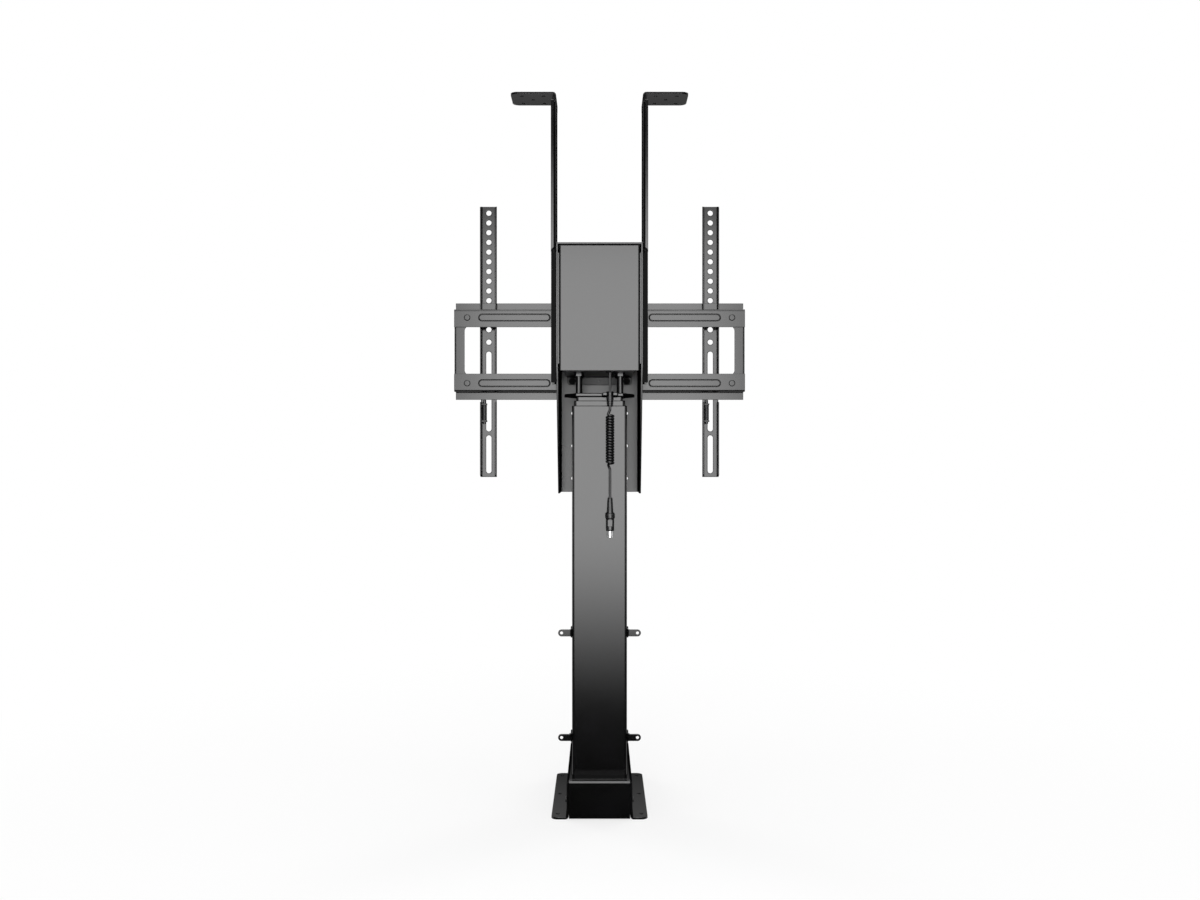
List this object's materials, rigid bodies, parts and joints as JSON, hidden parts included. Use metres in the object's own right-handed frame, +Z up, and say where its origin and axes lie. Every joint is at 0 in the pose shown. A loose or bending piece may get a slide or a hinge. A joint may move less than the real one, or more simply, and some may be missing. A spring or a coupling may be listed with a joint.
{
  "type": "tv lift mechanism",
  "caption": "Motorised television lift with a telescoping square column, a bolt-down base, a carriage with lid brackets and a hooked rail-and-arm screen frame, shown lowered.",
  "frame": {"origin": "on the floor at the centre of the floor bolt pattern, which is the centre of the base's footprint", "axes": "+Z up along the column and the lift's travel, -Y the wall side from which it is pictured, +Y the television side, +X to the right seen from the wall side"},
  "size_m": [0.452, 0.234, 1.04],
  "materials": {
    "powder_coated_steel": "semi-gloss black powder coat",
    "zinc_plated_steel": "dark zinc plate",
    "black_plastic": "moulded black",
    "bronze": "plain bronze",
    "black_rubber": "satin black",
    "nickel_shell": "nickel plate"
  },
  "bodies": {
    "base": {"base_frame": "powder_coated_steel", "base_front_cover": "powder_coated_steel", "base_rear_cover": "powder_coated_steel", "base_foot_plate": "powder_coated_steel", "base_cover_screws": "zinc_plated_steel", "outer_column_tube": "powder_coated_steel", "outer_glide_ring": "black_plastic", "wall_ear_upper_left": "powder_coated_steel", "wall_ear_upper_right": "powder_coated_steel", "wall_ear_lower_left": "powder_coated_steel", "wall_ear_lower_right": "powder_coated_steel", "wall_ear_screws": "zinc_plated_steel", "lower_support_tube": "zinc_plated_steel", "lower_spindle_nut": "bronze"},
    "middle_stage": {"middle_column_tube": "powder_coated_steel", "middle_glide_shoe": "black_plastic", "middle_glide_ring": "black_plastic", "middle_end_plate": "powder_coated_steel", "middle_support_tube": "zinc_plated_steel", "spindle_bearing": "zinc_plated_steel", "upper_spindle_nut": "bronze"},
    "outer_spindle": {"outer_spindle": "zinc_plated_steel"},
    "carriage": {"inner_column_tube": "powder_coated_steel", "inner_glide_shoe": "black_plastic", "column_flange_plate": "powder_coated_steel", "carriage_standoffs": "zinc_plated_steel", "carriage_bracket": "powder_coated_steel", "carriage_bracket_bolts": "zinc_plated_steel", "carriage_channel": "powder_coated_steel", "housing_cover": "powder_coated_steel", "cover_edge_strips": "black_rubber", "control_box": "black_plastic", "drive_motor": "black_plastic", "gearbox": "bronze", "lid_bracket_left": "powder_coated_steel", "lid_bracket_right": "powder_coated_steel", "lid_bracket_bolts": "zinc_plated_steel", "vesa_top_rail": "powder_coated_steel", "vesa_bottom_rail": "powder_coated_steel", "vesa_end_plate_left": "powder_coated_steel", "vesa_end_plate_right": "powder_coated_steel", "vesa_rivets": "powder_coated_steel", "rail_bolts": "zinc_plated_steel", "cord_grommet": "black_rubber", "housing_lead": "black_rubber", "cord_gland": "black_rubber", "cord_neck": "black_rubber", "curly_cord": "black_rubber", "cord_lead": "black_rubber", "plug_boot": "black_rubber", "plug_body": "black_plastic", "plug_shell": "nickel_shell", "plug_insert": "black_plastic"},
    "inner_spindle": {"inner_spindle": "zinc_plated_steel"},
    "left_arm": {"vesa_arm_left": "powder_coated_steel", "latch_barrel_left": "black_plastic"},
    "right_arm": {"vesa_arm_right": "powder_coated_steel", "latch_barrel_right": "black_plastic"},
    "left_latch": {"latch_pin_left": "zinc_plated_steel"},
    "right_latch": {"latch_pin_right": "zinc_plated_steel"}
  },
  "joints": [
    {"name": "middle_slide", "type": "slide", "parent": "base", "child": "middle_stage", "axis": [0, 0, 1], "range_m": [0, 0.35]},
    {"name": "inner_slide", "type": "slide", "parent": "middle_stage", "child": "carriage", "axis": [0, 0, 1], "range_m": [0, 0.35]},
    {"name": "outer_spindle_spin", "type": "hinge", "parent": "middle_stage", "child": "outer_spindle", "pos_m": [0, -0.048, 0.2], "axis": [0, 0, 1], "continuous": true},
    {"name": "inner_spindle_spin", "type": "hinge", "parent": "carriage", "child": "inner_spindle", "pos_m": [0, -0.048, 0.25], "axis": [0, 0, 1], "continuous": true},
    {"name": "left_arm_slide", "type": "slide", "parent": "carriage", "child": "left_arm", "axis": [1, 0, 0], "range_m": [-0.034, 0.075]},
    {"name": "right_arm_slide", "type": "slide", "parent": "carriage", "child": "right_arm", "axis": [1, 0, 0], "range_m": [-0.075, 0.034]},
    {"name": "left_latch_slide", "type": "slide", "parent": "left_arm", "child": "left_latch", "axis": [0, 0, 1], "range_m": [-0.013, 0], "stiffness_N_per_m": 300, "springref_m": 0.005},
    {"name": "right_latch_slide", "type": "slide", "parent": "right_arm", "child": "right_latch", "axis": [0, 0, 1], "range_m": [-0.013, 0], "stiffness_N_per_m": 300, "springref_m": 0.005}
  ],
  "couplings": [
    {"joint": "inner_slide", "follows": "middle_slide", "ratio": 1},
    {"joint": "outer_spindle_spin", "follows": "middle_slide", "rad_per_m": 392.7},
    {"joint": "inner_spindle_spin", "follows": "middle_slide", "rad_per_m": 392.7}
  ]
}
